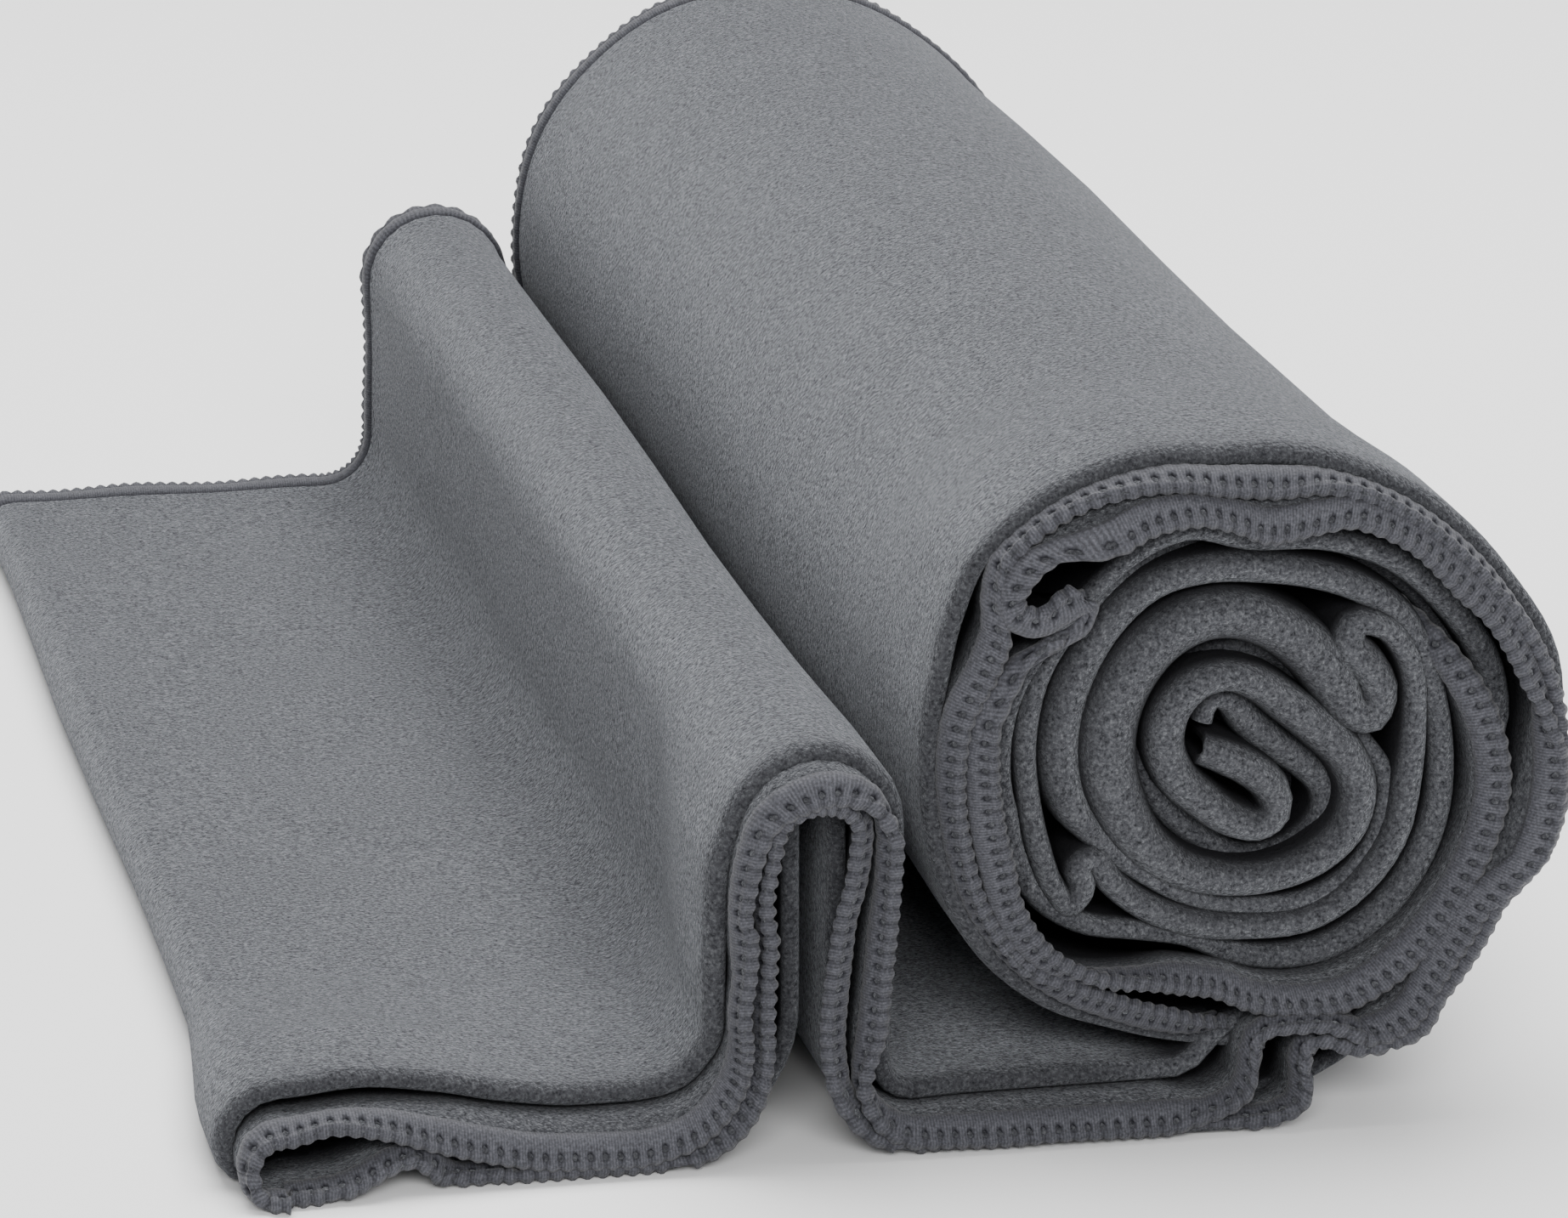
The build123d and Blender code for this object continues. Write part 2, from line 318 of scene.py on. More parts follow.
# The folds' middles where they leave the even spiral, as (length, x, z, width).
LOWER_CORE = [
    (540, 23.2, 68.4, 2.7), (546, 20.0, 64.4, 2.8), (553, 16.8, 58.4, 2.9), (561, 15.3, 50.8, 2.9),
    (570, 15.8, 43.6, 2.9), (580, 17.1, 37.2, 3.1), (586, 19.0, 31.9, 3.0), (590, 21.1, 29.3, 3.0),
    (594, 22.8, 31.4, 3.5), (597, 22.2, 34.4, 3.5), (600, 23.8, 35.6, 3.2), (604, 26.6, 32.0, 3.5),
    (608, 30.2, 29.0, 3.7), (614, 36.3, 26.2, 3.9), (621, 44.6, 25.1, 3.7), (627, 52.3, 25.7, 3.7),
    (632, 58.3, 29.3, 3.9), (638, 63.2, 36.0, 4.1), (642, 64.8, 43.6, 4.0), (646, 65.4, 51.4, 3.3),
    (649, 65.1, 57.0, 3.2), (651, 63.7, 60.9, 3.2), (653, 61.3, 63.6, 3.2), (655, 57.4, 64.2, 3.8),
    (657, 56.7, 61.9, 4.6), (660, 59.3, 58.6, 4.9), (662, 61.0, 54.9, 4.8), (664, 59.7, 51.8, 4.5),
    (666, 57.4, 52.6, 4.9), (669, 55.2, 56.2, 6.2), (673, 51.8, 60.9, 6.8), (677, 47.6, 64.1, 6.4),
    (681, 43.2, 66.0, 6.4), (685, 38.8, 66.2, 6.4), (690, 33.3, 64.0, 6.6), (695, 29.0, 59.6, 7.0),
    (700, 26.4, 53.9, 7.2), (705, 25.9, 48.4, 7.2), (710, 27.3, 42.7, 6.9), (715, 30.4, 37.2, 6.0),
    (720, 34.9, 33.5, 5.3), (725, 40.4, 31.8, 4.8), (731, 47.0, 31.7, 4.6), (737, 53.6, 34.1, 5.0),
    (742, 57.4, 38.0, 5.2), (746, 58.3, 42.8, 5.2), (750, 56.5, 47.2, 5.2), (754, 52.8, 50.9, 5.2),
    (758, 48.8, 54.2, 5.0), (762, 44.9, 57.1, 4.5), (766, 41.1, 58.4, 4.1), (770, 37.2, 57.5, 4.5),
    (774, 34.0, 54.0, 5.0), (778, 33.2, 49.6, 5.2), (782, 34.7, 45.6, 5.2), (786, 38.0, 42.3, 5.0),
    (790, 42.3, 39.3, 4.6), (793, 45.7, 38.6, 4.2), (795, 47.6, 40.2, 4.3), (796, 47.2, 43.0, 4.6),
    (798, 44.6, 45.6, 4.6), (799, 41.4, 47.4, 4.4), (800, 37.7, 49.0, 4.0),
]
UPPER_CORE = [
    (370, 12.7, 50.6, 2.3), (380, 13.2, 42.8, 2.6), (390, 14.4, 35.8, 3.0), (398, 17.4, 30.3, 3.1),
    (406, 22.9, 26.5, 2.9), (414, 30.1, 25.1, 2.7), (421, 36.7, 23.8, 2.7), (428, 42.3, 21.4, 3.1),
    (434, 47.8, 20.3, 3.5), (442, 54.5, 21.0, 3.8), (452, 61.0, 24.7, 3.9), (462, 65.9, 30.7, 3.9),
    (471, 68.9, 38.5, 3.7), (478, 69.4, 45.2, 3.5), (485, 68.5, 53.1, 3.2), (492, 66.8, 59.3, 3.2),
    (500, 63.2, 65.2, 3.7), (507, 57.8, 68.8, 3.9), (514, 52.3, 70.7, 4.0), (522, 45.7, 71.9, 4.4),
    (530, 38.6, 72.1, 4.1), (538, 31.7, 70.4, 4.2), (546, 26.4, 66.1, 4.7), (553, 22.5, 60.2, 5.2),
    (560, 20.4, 54.2, 5.5), (568, 19.9, 48.2, 5.6), (576, 21.3, 42.3, 4.9), (583, 24.5, 38.0, 3.2),
    (592, 30.4, 32.9, 2.5), (600, 36.5, 29.4, 2.4), (610, 44.3, 27.7, 2.4), (620, 53.3, 28.3, 2.6),
    (628, 58.8, 31.9, 2.6), (636, 62.0, 38.6, 2.4), (642, 62.2, 44.0, 2.4), (648, 59.8, 47.7, 2.4),
    (656, 56.3, 51.9, 2.5), (663, 52.6, 56.2, 3.0), (669, 48.3, 59.4, 3.0), (676, 42.7, 60.5, 3.0),
    (684, 37.2, 58.7, 2.7), (694, 32.6, 52.8, 2.7), (704, 31.5, 46.3, 3.0), (712, 34.0, 40.6, 3.4),
    (719, 38.4, 36.4, 3.4), (727, 44.0, 33.5, 3.0), (735, 49.5, 33.8, 3.1), (741, 53.3, 35.6, 3.6),
    (746, 55.1, 38.7, 3.5), (751, 55.0, 41.7, 3.8), (757, 52.5, 44.9, 4.2), (765, 48.2, 48.1, 4.5),
    (773, 44.6, 51.4, 4.4), (780, 42.5, 54.0, 3.8), (785, 40.5, 54.7, 2.7), (792, 39.1, 53.4, 2.8),
    (800, 38.6, 51.7, 3.0),
]


def line_normals(points):
    """Left normals of a run of points in x and z."""
    step = np.gradient(points, axis=0)
    step /= np.maximum(np.linalg.norm(step, axis=1), 1e-9)[:, None]
    return np.stack([-step[:, 1], step[:, 0]], 1)


def core_line(rows, s):
    """The middle of a fold along its own listed line, and its width: a spline through the points."""
    table = np.array(rows, float)
    knots = np.concatenate([[0], np.cumsum(np.linalg.norm(np.diff(table[:, 1:3], axis=0), axis=1))])
    here = np.interp(s, table[:, 0], knots)
    k = np.clip(np.searchsorted(knots, here) - 1, 0, len(knots) - 2)
    slope = np.gradient(table[:, 1:], knots, axis=0)
    h = knots[k + 1] - knots[k]
    t = np.clip((here - knots[k]) / h, 0, 1)[:, None]
    return cubic(t, h[:, None], table[k, 1:], slope[k], table[k + 1, 1:], slope[k + 1])


CORE_SWELL = 1.08  # how much wider the core's folds are made than their lists say


def fold_line(s, side):
    """The near fold's middle, left normal and width at each length.
    side is +1 for the upper half and -1 for the lower."""
    points, normals = along_path(s)
    if side > 0:
        inner, width, core = UPPER_FOLD_INNER, UPPER_FOLD_WIDTH, UPPER_CORE
    else:
        inner, width, core = LOWER_FOLD_INNER, LOWER_FOLD_WIDTH, LOWER_CORE
    wide = smooth_curve(width, s)
    middle = points + normals * (smooth_curve(inner, s) + side * wide / 2)[:, None]
    own = core_line(core, s)
    own[:, 2] *= CORE_SWELL
    in_core = step_up((s - core[0][0] - 2) / 14)
    wide = wide * (1 - in_core) + own[:, 2] * in_core
    middle = middle * (1 - in_core[:, None]) + own[:, :2] * in_core[:, None]
    return middle, line_normals(middle), wide


# ---------------------------------------------------------------- the folded sheet
# A row is a line of the cloth from its far hem to its near hem, six layers thick in the pack.
# Rows run from the upper half's short end to the cross fold, round it, and out to the lower half's end.

UPPER, TURN, LOWER = 1, 0, -1
BASE_LAYERS = (3.62, 2.18, 0.74)  # how far the three layers of a half lie from the mid-line
LOOP_HEM_ROOT = [(0, 4.9), (60, 5.3), (110, 5.2), (150, 4.0), (180, 2.8)]
LOOP_HEM_EDGE = [(0, 3.2), (60, 3.9), (110, 4.2), (150, 4.2), (180, 3.6)]
LOOP_HEM_REACH = [(0, 5.0), (60, 6.0), (110, 8.0), (180, 10.0)]
LOOP_FOLD_INNER = [(0, 6.8), (60, 5.9), (110, 4.6), (150, 2.8), (180, 1.8)]
LOOP_FOLD_WIDTH = [(0, 2.8), (90, 3.0), (180, 2.6)]
LOOP_FOLD_BACK = [(0, 0), (90, 1.0), (180, 3.0)]


class Rows:
    """Where each row of the cloth lies: its middle, the way out from it, and its near-end shape."""

    def __init__(self, lengths):
        count = len(lengths)
        round_turn = pi * HALF_FOLD_RADIUS
        turn = np.linspace(0, 180, max(3, int(round(round_turn / (lengths[1] - lengths[0])))))[1:-1]
        self.half = np.concatenate([np.full(count, UPPER), np.full(len(turn), TURN), np.full(count, LOWER)])
        self.s = np.concatenate([lengths[::-1], np.zeros(len(turn)), lengths])
        self.turn = np.concatenate([np.zeros(count), turn, np.full(count, 180.0)])
        self.along = np.concatenate([lengths[::-1] * -1, turn / 180 * round_turn, lengths + round_turn])
        self.place()

    def pick(self, upper, loop, lower):
        """A near-end value for every row, from the upper half's, the turn's and the lower half's lists."""
        out = np.zeros(len(self.s))
        up, mid, low = self.half == UPPER, self.half == TURN, self.half == LOWER
        out[up] = smooth_curve(upper, self.s[up])
        out[mid] = smooth_curve(loop, self.turn[mid])
        out[low] = smooth_curve(lower, self.s[low])
        return out

    def place(self):
        up, mid, low = self.half == UPPER, self.half == TURN, self.half == LOWER
        points, normals = along_path(self.s)
        side = np.where(up, 1.0, -1.0)[:, None]
        self.middle = points
        self.out = normals * side
        angle = np.radians(self.turn[mid])
        self.out[mid] = np.stack([-np.sin(angle), np.cos(angle)], 1)

        self.fold_mid = np.zeros((len(self.s), 2))
        self.fold_out = np.zeros((len(self.s), 2))
        self.fold_wide = np.zeros(len(self.s))
        for here, sign in ((up, 1), (low, -1)):
            order = np.argsort(self.s[here])
            mids, ways, wides = fold_line(self.s[here][order], sign)
            back_again = np.argsort(order)
            self.fold_mid[here] = mids[back_again]
            self.fold_out[here] = ways[back_again] * sign
            self.fold_wide[here] = wides[back_again]
        wide = smooth_curve(LOOP_FOLD_WIDTH, self.turn[mid])
        inner = smooth_curve(LOOP_FOLD_INNER, self.turn[mid])
        self.fold_mid[mid] = points[mid] + self.out[mid] * (inner + wide / 2)[:, None]
        self.fold_out[mid] = self.out[mid]
        self.fold_wide[mid] = wide
        self.fold_back = self.pick(UPPER_FOLD_BACK, LOOP_FOLD_BACK, LOWER_FOLD_BACK)

        lower_root = [(s, -n) for s, n in LOWER_HEM_ROOT]
        lower_edge = [(s, -n) for s, n in LOWER_HEM_EDGE]
        self.hem_root = self.pick(UPPER_HEM_ROOT, LOOP_HEM_ROOT, lower_root)
        self.hem_edge = self.pick(UPPER_HEM_EDGE, LOOP_HEM_EDGE, lower_edge)
        self.hem_reach = self.pick(UPPER_HEM_REACH, LOOP_HEM_REACH, LOWER_HEM_REACH)
        self.root_at = self.middle + self.out * self.hem_root[:, None]
        self.edge_at = self.middle + self.out * self.hem_edge[:, None]
        lines = ((up, UPPER_HEM_HOOK), (up, UPPER_HEM_KINK), (low, LOWER_HEM_KINK), (low, LOWER_HEM_CURL))
        for here, table in lines:
            own = smooth_curve(table, self.s)
            first, last = table[0][0], table[-1][0]
            inside = (step_up((self.s - first) / 5) * step_up((last + 3 - self.s) / 5) * here)[:, None]
            self.root_at = self.root_at * (1 - inside) + own[:, :2] * inside
            self.edge_at = self.edge_at * (1 - inside) + own[:, 2:] * inside

    def at(self, out, y):
        """Points at distances out from the mid-line and at y, one for every row."""
        flat = self.middle + self.out * np.asarray(out)[..., None]
        return np.stack([flat[:, 0], np.broadcast_to(y, len(self.s)), flat[:, 1]], 1)

    def waves(self, y):
        """Soft unevenness of the pack, outward, for every row at y."""
        s = self.along
        y = np.broadcast_to(y, len(s))
        slow = 0.40 * np.sin(s / 23.0 + y / 61.0) * np.sin(y / 47.0 + 0.7)
        quick = 0.16 * np.sin(s / 11.0 - y / 37.0 + 1.3) + 0.10 * np.sin(s / 17.0 + y / 23.0)
        fade = step_up((y + 128) / 40) * step_up((146 - y) / 30)
        return (slow + quick) * fade * step_up((430 - self.s) / 60)


NEAR_SHAPE = 13.0  # depth over which the near end keeps its own shape
NEAR_BLEND = 44.0  # depth over which that shape gives way to the even pack


def hold(y, rows):
    """1 where the near end's own shape holds, 0 where the even pack has taken over."""
    front = NEAR_Y + rows.fold_back
    return 1 - step_up((y - front - NEAR_SHAPE) / NEAR_BLEND)


def fold_layer(rows, layer, y):
    """The middle surface of layer 0 (outermost) or 1 at y, for every row."""
    y = np.broadcast_to(y, len(rows.s))
    offset = (rows.fold_wide - CLOTH) / 2 * (1 if layer == 0 else -1)
    near = rows.fold_mid + rows.fold_out * offset[:, None]
    far = rows.middle + rows.out * (BASE_LAYERS[layer] + rows.waves(y))[:, None]
    weight = hold(y, rows)[:, None]
    flat = far * (1 - weight) + near * weight
    return np.stack([flat[:, 0], y, flat[:, 1]], 1)


def far_layer(rows, y):
    """Layer 0 out to the far hem, where the edge stands up a little and stays off the floor."""
    points = fold_layer(rows, 0, y)
    rise = 0.3 + 0.5 * (1 - step_up((rows.s - 200) / 20))
    lift = rise * step_up((y - 140) / 10.4) + 0.25 * np.sin(rows.along / 4.1) * step_up((y - 143) / 7)
    points[:, 0] += rows.out[:, 0] * lift
    points[:, 2] += rows.out[:, 1] * lift
    points[:, 2] = np.maximum(points[:, 2], CLOTH / 2 + 0.75 * step_up((y - 142) / 7))
    return points


def nose_depth(rows):
    return np.clip(rows.fold_wide * 0.8, 1.7, 4.4)


def fold_nose(rows, turn):
    """The rounded front of the near fold; turn goes from 0 on layer 0 to 1 on layer 1."""
    angle = pi * turn
    depth = nose_depth(rows)
    half = (rows.fold_wide - CLOTH) / 2
    across = cos(angle)
    flat = rows.fold_mid + rows.fold_out * (half * across)[:, None]
    y = NEAR_Y + rows.fold_back + depth - (depth - CLOTH / 2) * sin(angle)
    return np.stack([flat[:, 0], y, flat[:, 1]], 1)


def nose_start(rows):
    return NEAR_Y + rows.fold_back + nose_depth(rows)


def hem_front(rows):
    """y of the hem's edge and of its root."""
    edge_y = NEAR_Y - rows.hem_reach
    root_y = np.maximum(NEAR_Y + 1.0, edge_y + 2.5)
    return edge_y, root_y


HEM_BEND = radians(86)
LEAF_DEPTH = 26.0  # from the hem's root to where the leaf lies flat in the pack


def leaf(rows, t):
    """The hem leaf's middle surface: t is 0 at its edge, 1 at its root and 2 where it is flat."""
    edge_y, root_y = hem_front(rows)
    if t <= 1:
        angle = (1 - t) * HEM_BEND
        rise = (1 - cos(angle)) / (1 - cos(HEM_BEND))
        late = np.where(rows.half == LOWER, 1 + 1.4 * step_up((rows.hem_reach - 5) / 4), 1.0)
        flat = rows.root_at + (rows.edge_at - rows.root_at) * (rise ** late)[:, None]
        y = root_y - (root_y - edge_y) * sin(angle) / sin(HEM_BEND)
    else:
        packed = rows.middle + rows.out * BASE_LAYERS[2]
        flat = rows.root_at + (packed - rows.root_at) * step_up(t - 1)
        y = root_y + LEAF_DEPTH * (t - 1)
    return np.stack([flat[:, 0], y, np.maximum(flat[:, 1], FLOOR_CLEAR)], 1)


# Where a row's stations lie, from the far hem to the near hem.
OUTER_YS = (FAR_HEM_Y, 148, 144.5, 139, 118, 88, 50, 8, -34, -68, -96, -116, -131)
NOSE_TURNS = np.linspace(0, 1, 9)
MIDDLE_YS = (-130, -108, -70, 0, 80, 128, 145.8)
FAR_FOLD_TURNS = (0.25, 0.5, 0.75)
INNER_YS = (145.8, 100, 20, -55, -100)
LEAF_STEPS = (1.8, 1.45, 1.2, 1.0, 0.86, 0.72, 0.58, 0.44, 0.30, 0.15, 0.0)
BEFORE_NOSE = 5.0


def far_fold(rows, turn):
    """The rounded far fold, between layers 1 and 2."""
    angle = pi * turn
    return rows.at(1.3 + 1.15 * cos(angle), 147 + 2.4 * sin(angle))


def cloth_grid(rows):
    """The cloth's middle surface: rows by stations."""
    lines = [far_layer(rows, y) for y in OUTER_YS]
    lines.append(fold_layer(rows, 0, nose_start(rows) + BEFORE_NOSE))
    lines += [fold_nose(rows, turn) for turn in NOSE_TURNS]
    lines.append(fold_layer(rows, 1, nose_start(rows) + BEFORE_NOSE))
    lines += [fold_layer(rows, 1, y) for y in MIDDLE_YS]
    lines += [far_fold(rows, turn) for turn in FAR_FOLD_TURNS]
    lines += [rows.at(BASE_LAYERS[2] + rows.waves(y), y) for y in INNER_YS]
    lines += [leaf(rows, t) for t in LEAF_STEPS]
    return np.stack(lines, 1)


def surface_ways(grid):
    """Unit normals of a grid of points."""
    along = np.gradient(grid, axis=0)
    across = np.gradient(grid, axis=1)
    way = np.cross(along, across)
    return way / np.maximum(np.linalg.norm(way, axis=2), 1e-9)[:, :, None]


def make_mesh(name, points, faces):
    """An object of smooth quads from points in millimetres."""
    mesh = bpy.data.meshes.new(name)
    mesh.vertices.add(len(points))
    mesh.vertices.foreach_set("co", (np.asarray(points, float) * MM).astype(np.float32).ravel())
    faces = np.asarray(faces, np.int32)
    mesh.loops.add(faces.size)
    mesh.loops.foreach_set("vertex_index", faces.ravel())
    mesh.polygons.add(len(faces))
    mesh.polygons.foreach_set("loop_start", np.arange(len(faces), dtype=np.int32) * faces.shape[1])
    mesh.polygons.foreach_set("loop_total", np.full(len(faces), faces.shape[1], np.int32))
    mesh.polygons.foreach_set("use_smooth", np.ones(len(faces), bool))
    mesh.update(calc_edges=True)
    mesh.validate()
    thing = bpy.data.objects.new(name, mesh)
    bpy.context.scene.collection.objects.link(thing)
    return thing


def grid_faces(rows, cols, first=0, flip=False):
    i, j = np.meshgrid(np.arange(rows - 1), np.arange(cols - 1), indexing="ij")
    a = first + i * cols + j
    quads = np.stack([a, a + 1, a + cols + 1, a + cols], -1).reshape(-1, 4)
    return quads[:, ::-1] if flip else quads


def solid_sheet(name, grid, thickness):
    """A closed sheet of the given thickness about a grid of mid-surface points."""
    rows, cols = grid.shape[:2]
    way = surface_ways(grid) * thickness / 2
    top = (grid + way).reshape(-1, 3)
    under = (grid - way).reshape(-1, 3)
    count = rows * cols
    faces = [grid_faces(rows, cols), grid_faces(rows, cols, count, True)]
    index = np.arange(count).reshape(rows, cols)
    for line, flip in ((index[0], True), (index[-1], False), (index[:, 0], False), (index[:, -1], True)):
        quads = np.stack([line[:-1], line[1:], line[1:] + count, line[:-1] + count], 1)
        faces.append(quads if not flip else quads[:, ::-1])
    return make_mesh(name, np.concatenate([top, under]), np.concatenate(faces))


def add_values(thing, name, values):
    layer = thing.data.attributes.new(name, "FLOAT", "POINT")
    layer.data.foreach_set("value", np.asarray(values, np.float32).ravel())


def ring_tube(name, rings, marks):
    """A closed tube through rings of points, capped at both ends.
    marks gives named values for its points."""
    rows, cols = rings.shape[:2]
    index = np.arange(rows * cols).reshape(rows, cols)
    wrapped = np.concatenate([index, index[:, :1]], 1)
    corners = [wrapped[:-1, :-1], wrapped[:-1, 1:], wrapped[1:, 1:], wrapped[1:, :-1]]
    quads = np.stack(corners, -1).reshape(-1, 4)
    thing = make_mesh(name, rings.reshape(-1, 3), quads)
    for key, values in marks.items():
        add_values(thing, key, values)
    work = bmesh.new()
    work.from_mesh(thing.data)
    open_edges = [edge for edge in work.edges if edge.is_boundary]
    bmesh.ops.holes_fill(work, edges=open_edges, sides=0)
    work.to_mesh(thing.data)
    work.free()
    return thing


def row_lengths(fine_to, fine, coarse):
    """Lengths along the path, fine up to fine_to and coarse from there to the short end."""
    first = np.arange(0, fine_to, fine)
    rest = np.linspace(fine_to, PATH_LENGTH, int(round((PATH_LENGTH - fine_to) / coarse)) + 1)
    return np.concatenate([first, rest])


# Row spacing along the path, closer where the cloth turns tightly.
ROW_SPACING = [
    (0, 1.2), (6, 1.2), (9, 2.3), (85, 2.3), (88, 1.6), (118, 1.6), (121, 2.3), (188, 2.3), (192, 1.5),
    (218, 1.5), (222, 2.2), (324, 2.2), (328, 1.25), (362, 1.25), (366, 2.3), (582, 2.3), (586, 0.95),
    (604, 0.95), (608, 1.6), (642, 1.6), (646, 0.72), (674, 0.72), (678, 1.25), (784, 1.15), (788, 0.75),
    (800, 0.75),
]


def spaced_lengths(spacing):
    """Lengths along the path with the gaps that spacing lists."""
    places, gaps = np.array(spacing).T
    lengths = [0.0]
    while lengths[-1] < PATH_LENGTH:
        lengths.append(lengths[-1] + np.interp(lengths[-1], places, gaps))
    return np.array(lengths) * PATH_LENGTH / lengths[-1]


cloth_rows = Rows(spaced_lengths(ROW_SPACING))
cloth = solid_sheet("towel_cloth", cloth_grid(cloth_rows), CLOTH)


def painted_shade_share(rows):
    """Painted shade for each station of each row, from 0 in the open to 1 where it is pressed between
    layers, with painted shade also on the sides of the fold noses and on the hem leaves.
    """
    s = rows.s
    up = rows.half == UPPER
    open_outer = np.where(up, 1 - step_up((s - 176) / 14), 1 - step_up((s - 418) / 20))
    shares = []
    for station in range(len(OUTER_YS) + 1):
        shares.append((1 - open_outer) * step_up((station - 1) / 3))
    # painted shade on both sides of each fold nose, leaving its middle lit
    for turn in NOSE_TURNS:
        tuck = step_up((turn - 0.42) / 0.5) ** 1.5
        bend = 0.42 * step_up((turn + 0.15) / 0.35) * open_outer
        front = step_up((0.5 - turn) / 0.45) ** 1.8 * (1 - open_outer)
        shares.append(np.maximum(np.maximum(tuck, front), bend))
    middle = (1, 1, 1, 1, 1, 1, 0.9, 0.25)  # the station behind the nose, then MIDDLE_YS
    far_turns = (0.0, 0.0, 0.0)
    inner = (0.25, 1, 1, 1, 1)
    for share in middle + far_turns + inner:
        shares.append(np.full(len(s), share))
    # painted shade on the hem leaves, darker towards their roots
    for t in LEAF_STEPS:
        shares.append(np.full(len(s), max(0.3, step_up((t - 0.76) / 0.42))))
    return np.stack(shares, 1)


painted_shade = painted_shade_share(cloth_rows).ravel()
# painted shade, stored as a value on every point of the cloth
add_values(cloth, "painted_shade", np.concatenate([painted_shade, painted_shade]))

# ---------------------------------------------------------------- the overlocked edges

BAND_STATIONS = (4.3, 4.05, 3.5, 2.9, 2.3, 1.85, 1.55, 1.3, 1.1, 0.9, 0.6, 0.28)  # mm in from the edge
BAND_END = 4.35  # where the thread tapers down to the cloth
HOLES_IN = 1.15  # how far in from the edge the stitch holes lie
HOLE_DEPTH = 0.95


def hump(x, middle, width):
    return np.exp(-((x - middle) / width) ** 2)


def unit(lines):
    return lines / np.maximum(np.linalg.norm(lines, axis=1), 1e-9)[:, None]


def stitched_edge(name, distance, profile, thickness, swell, proud=1.0):
    """Thread wrapped over an edge of the cloth, at these distances along the edge.
    profile(u) gives the middle surface at u mm in from the edge. Where proud is 0 the thread is sunk
    flush with the cloth."""
    step = 0.05
    phase = distance / STITCH * 2 * pi
    between = 0.5 - 0.5 * np.cos(phase)  # 0 at a stitch hole, 1 midway to the next
    nearest = np.abs((phase + pi) % (2 * pi) - pi)
    rings = []
    painted_stitch_shades = []
    for face in (1, -1):
        for u in BAND_STATIONS if face > 0 else BAND_STATIONS[::-1]:
            here = profile(u)
            inward = unit(profile(u + step) - here)
            way = unit(np.cross(unit(np.gradient(here, axis=0)), inward))
            strands = 0.02 * np.cos(3 * phase + u * 1.1)
            bead = 0.07 * np.cos(phase) * hump(u, 2.6, 1.6)
            spot = hump(u, HOLES_IN, 0.36) * hump(nearest, 0, 0.98)
            valley = hump(u, 0.1, 0.42) * hump(nearest, 0, 0.8)
            loop = 0.34 * hump(u, 0.25, 0.42) * between - 0.15 * valley
            taper = 1 - hump(u, BAND_END, 0.28)
            puff = 0.38 * sin(pi * min(max((u - 0.9) / 3.4, 0), 1)) + 0.12 * hump(u, 0, 0.5)
            lift = (thickness / 2 + swell + strands + bead - HOLE_DEPTH * spot + loop + puff) * taper
            lift = np.maximum(lift, thickness / 2 * 0.3)
            lift = lift * proud + thickness * 0.4 * (1 - proud)
            out = -inward * (0.24 * between * hump(u, 0, 0.6))[:, None]
            rings.append(here + way * (face * lift)[:, None] + out)
            # painted shade in the stitch holes, in the valleys between stitches at the edge, and where the
            # band meets the cloth
            painted_stitch_shades.append(np.clip(spot * 2.6, 0, 1) + 0.45 * valley + 0.7 * hump(u, BAND_END, 0.4))
        if face > 0:
            here = profile(0.0)
            inward = unit(profile(step) - here)
            rings.append(here - inward * ((0.5 + 0.26 * between) * proud)[:, None])
            # painted shade in the valleys between stitches along the edge's rim
            painted_stitch_shades.append(0.45 * hump(nearest, 0, 0.8))
    rings = np.stack(rings, 1)
    along = np.repeat(distance, rings.shape[1])
    return ring_tube(name, rings, {"along": along, "painted_stitch_shade": np.clip(np.stack(painted_stitch_shades, 1), 0, 1)})


def near_leaf_profile(rows):
    """The near hem's middle surface by distance in from its edge."""
    marks = np.linspace(0, 1.6, 33)
    grid = np.stack([leaf(rows, t) for t in marks], 1)
    gaps = np.linalg.norm(np.diff(grid, axis=1), axis=2)
    reached = np.concatenate([np.zeros((len(rows.s), 1)), np.cumsum(gaps, axis=1)], 1)

    def profile(u):
        k = np.clip((reached < u).sum(axis=1) - 1, 0, len(marks) - 2)
        line = np.arange(len(rows.s))
        span = reached[line, k + 1] - reached[line, k]
        t = ((u - reached[line, k]) / np.maximum(span, 1e-9))[:, None]
        return grid[line, k] * (1 - t) + grid[line, k + 1] * t

    return profile


def only(rows, keep):
    """The rows for which keep holds."""
    part = Rows.__new__(Rows)
    for key, value in rows.__dict__.items():
        part.__dict__[key] = value[keep]
    return part


# The edgings' rings are close together up to these lengths along the path, and further apart past them.
NEAR_FINE_TO = 522.5
FAR_FINE_TO = 432
# How far the thread stands out from the cloth's faces.
NEAR_SWELL = 0.18
FAR_SWELL = 0.30
SHORT_END_SWELL = 0.12

edge_rows = Rows(row_lengths(NEAR_FINE_TO, STITCH / 8, STITCH / 2))
middle_turn = pi * HALF_FOLD_RADIUS / 2
near_upper = only(edge_rows, edge_rows.along < middle_turn + STITCH / 8)
near_lower = only(edge_rows, edge_rows.along > middle_turn - STITCH / 8)
near_edgings = [
    stitched_edge(name, rows.along, near_leaf_profile(rows), CLOTH, NEAR_SWELL)
    for name, rows in (("near_thread_upper", near_upper), ("near_thread_lower", near_lower))
]


def far_profile(rows):
    """The far hem's middle surface by distance in from its edge."""
    return lambda u: far_layer(rows, FAR_HEM_Y - u)


far_rows = Rows(row_lengths(FAR_FINE_TO, STITCH / 4, STITCH / 2))
far_edging = stitched_edge("far_thread", far_rows.along, far_profile(far_rows), CLOTH, FAR_SWELL)


